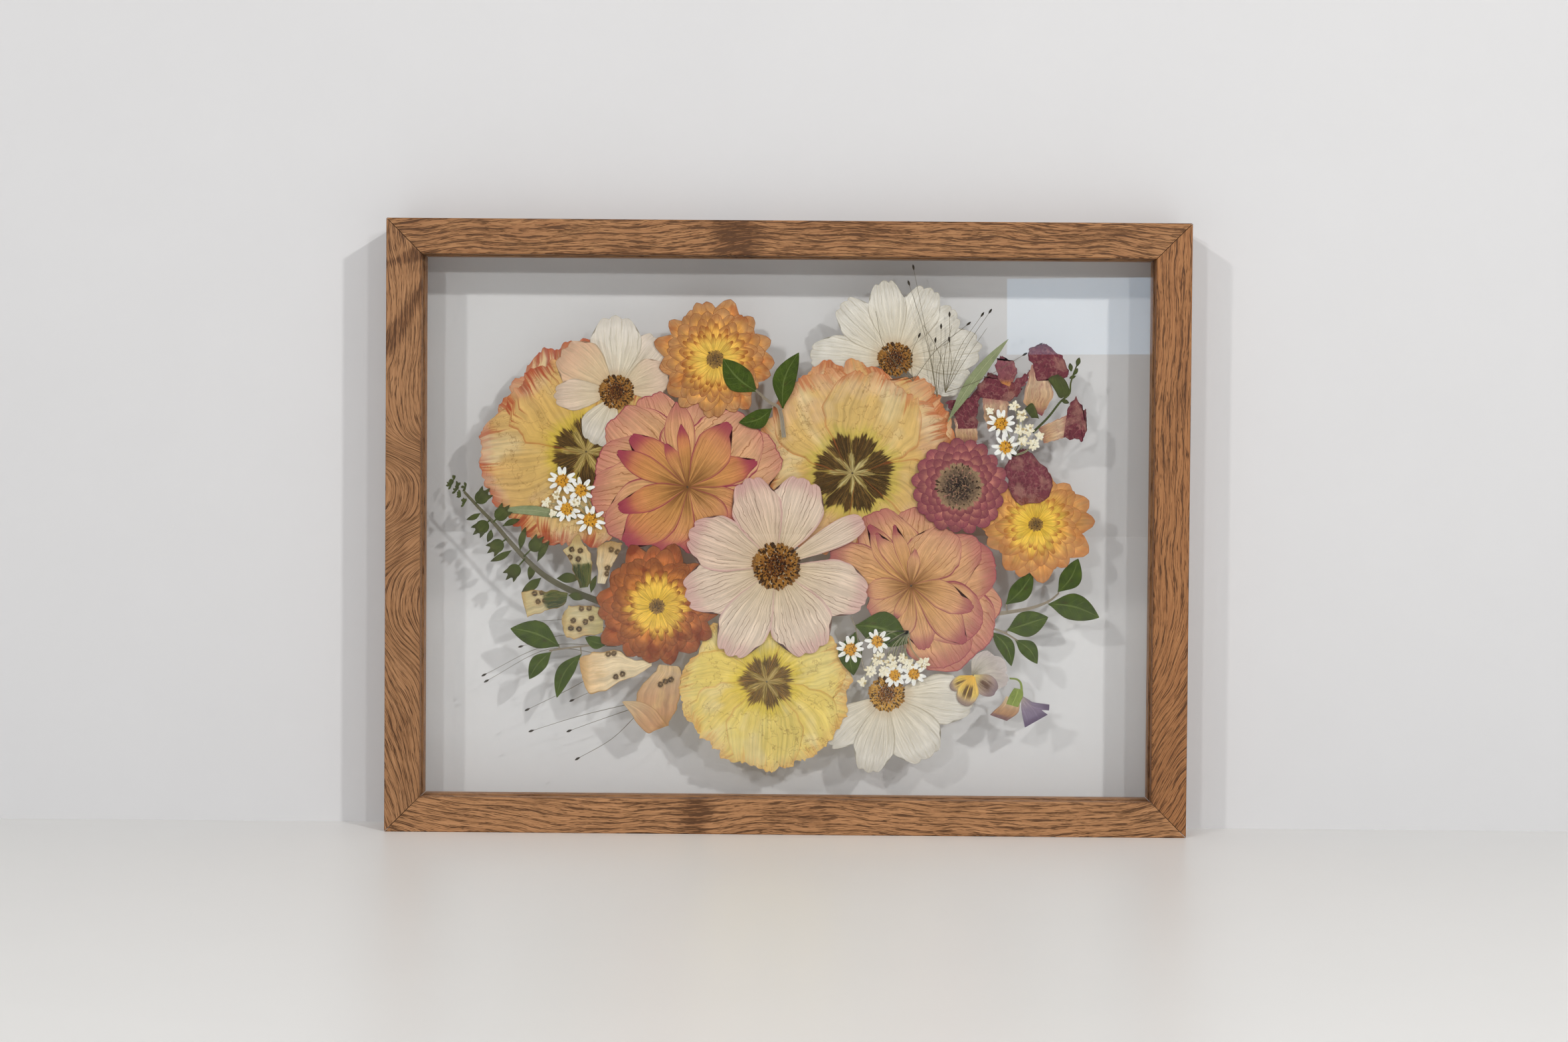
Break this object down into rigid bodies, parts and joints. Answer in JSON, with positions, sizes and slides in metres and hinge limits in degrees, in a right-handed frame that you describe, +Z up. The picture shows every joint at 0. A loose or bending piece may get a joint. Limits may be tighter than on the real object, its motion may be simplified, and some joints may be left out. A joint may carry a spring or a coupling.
{
  "type": "pressed flower frame",
  "caption": "Free-standing landscape wooden frame with two panes of glass holding a bouquet of pressed flowers, leaves and pods.",
  "frame": {"origin": "middle of the frame's underside, halfway through its depth", "axes": "+X to the right along the frame's width, +Y from the front to the back, +Z up"},
  "size_m": [0.432, 0.032, 0.33],
  "materials": {
    "oak": "planed oak, oiled, open grain",
    "oak_strip": "planed oak, plain",
    "glass": "clear picture glass",
    "cosmos_petal": "dried petal, veined and part see-through",
    "tulip_petal": "dried petal, creased",
    "rose_petal": "dried petal, veined",
    "chrysanthemum_petal": "dried petal",
    "zinnia_petal": "dried petal",
    "snapdragon_petal": "dried petal, wrinkled",
    "foxglove_petal": "dried petal, spotted",
    "feverfew_petal": "dried petal",
    "pansy_petal": "dried petal",
    "leaf_green": "dried leaf"
  },
  "bodies": {
    "root": {"rail_top": "oak", "glazing_strip_top": "oak_strip", "rail_bottom": "oak", "glazing_strip_bottom": "oak_strip", "rail_left": "oak", "glazing_strip_left": "oak_strip", "rail_right": "oak", "glazing_strip_right": "oak_strip", "glass_front": "glass", "glass_back": "glass", "cosmos_centre": "cosmos_petal", "cosmos_top": "cosmos_petal", "cosmos_left": "cosmos_petal", "cosmos_bottom": "cosmos_petal", "tulip_left": "tulip_petal", "tulip_middle": "tulip_petal", "tulip_bottom": "tulip_petal", "rose_left": "rose_petal", "rose_right": "rose_petal", "chrysanthemum_top": "chrysanthemum_petal", "chrysanthemum_rust": "chrysanthemum_petal", "chrysanthemum_right": "chrysanthemum_petal", "zinnia_mauve": "zinnia_petal", "petal_burgundy": "snapdragon_petal", "snapdragon_upper": "snapdragon_petal", "snapdragon_left": "snapdragon_petal", "snapdragon_right": "snapdragon_petal", "snapdragon_dark": "snapdragon_petal", "foxglove_bell_tip": "foxglove_petal", "foxglove_bell_upper": "foxglove_petal", "foxglove_bell_middle": "foxglove_petal", "foxglove_bell_side": "foxglove_petal", "foxglove_bell_long": "foxglove_petal", "foxglove_bell_large": "foxglove_petal", "viola": "pansy_petal", "bellflower_lilac": "pansy_petal", "foxglove_spike": "leaf_green", "snapdragon_bud": "leaf_green", "grass_blade_right": "leaf_green", "grass_blade_left": "leaf_green", "leaf_centre_upper": "leaf_green", "leaf_centre_lower": "leaf_green", "leaf_sprig_top": "leaf_green", "leaf_sprig_left": "leaf_green", "leaf_sprig_right_upper": "leaf_green", "leaf_sprig_right_lower": "leaf_green", "feverfew_left": "feverfew_petal", "feverfew_right": "feverfew_petal", "feverfew_bottom": "feverfew_petal"}
  },
  "joints": []
}
